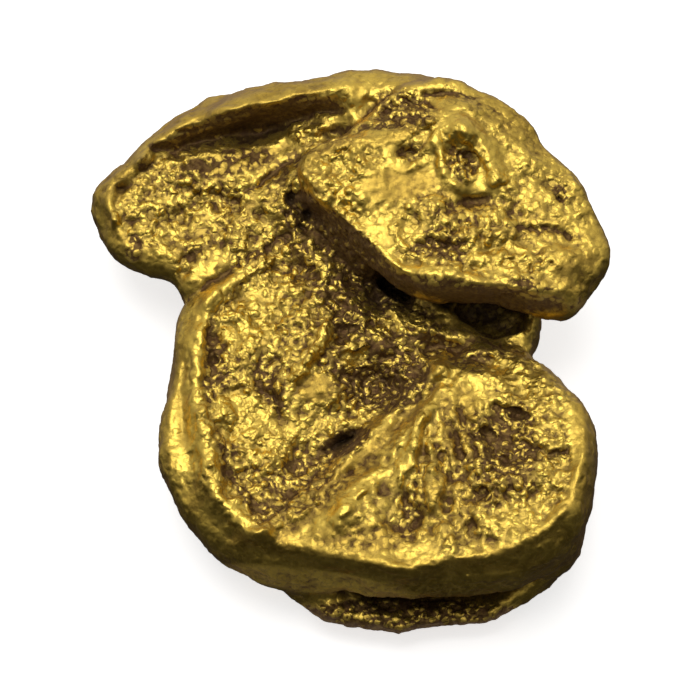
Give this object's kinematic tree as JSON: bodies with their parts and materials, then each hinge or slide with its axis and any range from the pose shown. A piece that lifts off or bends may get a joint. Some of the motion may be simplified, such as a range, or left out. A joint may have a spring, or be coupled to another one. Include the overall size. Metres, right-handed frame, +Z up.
{
  "type": "gold nugget",
  "caption": "Small flattened lump of natural gold, folded over itself in worn leaves with a rough pitted face, lying flat on a bare flat patch of its underside.",
  "frame": {"origin": "on the surface that the nugget lies on, under the middle of its outline", "axes": "+Z up from the surface, +Y from the broad front wall to the thick back rim, +X from the ear-shaped lobe to the overhanging plate"},
  "size_m": [0.013, 0.0144, 0.0044],
  "materials": {
    "gold": null
  },
  "bodies": {
    "root": {"nugget": "gold"}
  },
  "joints": []
}
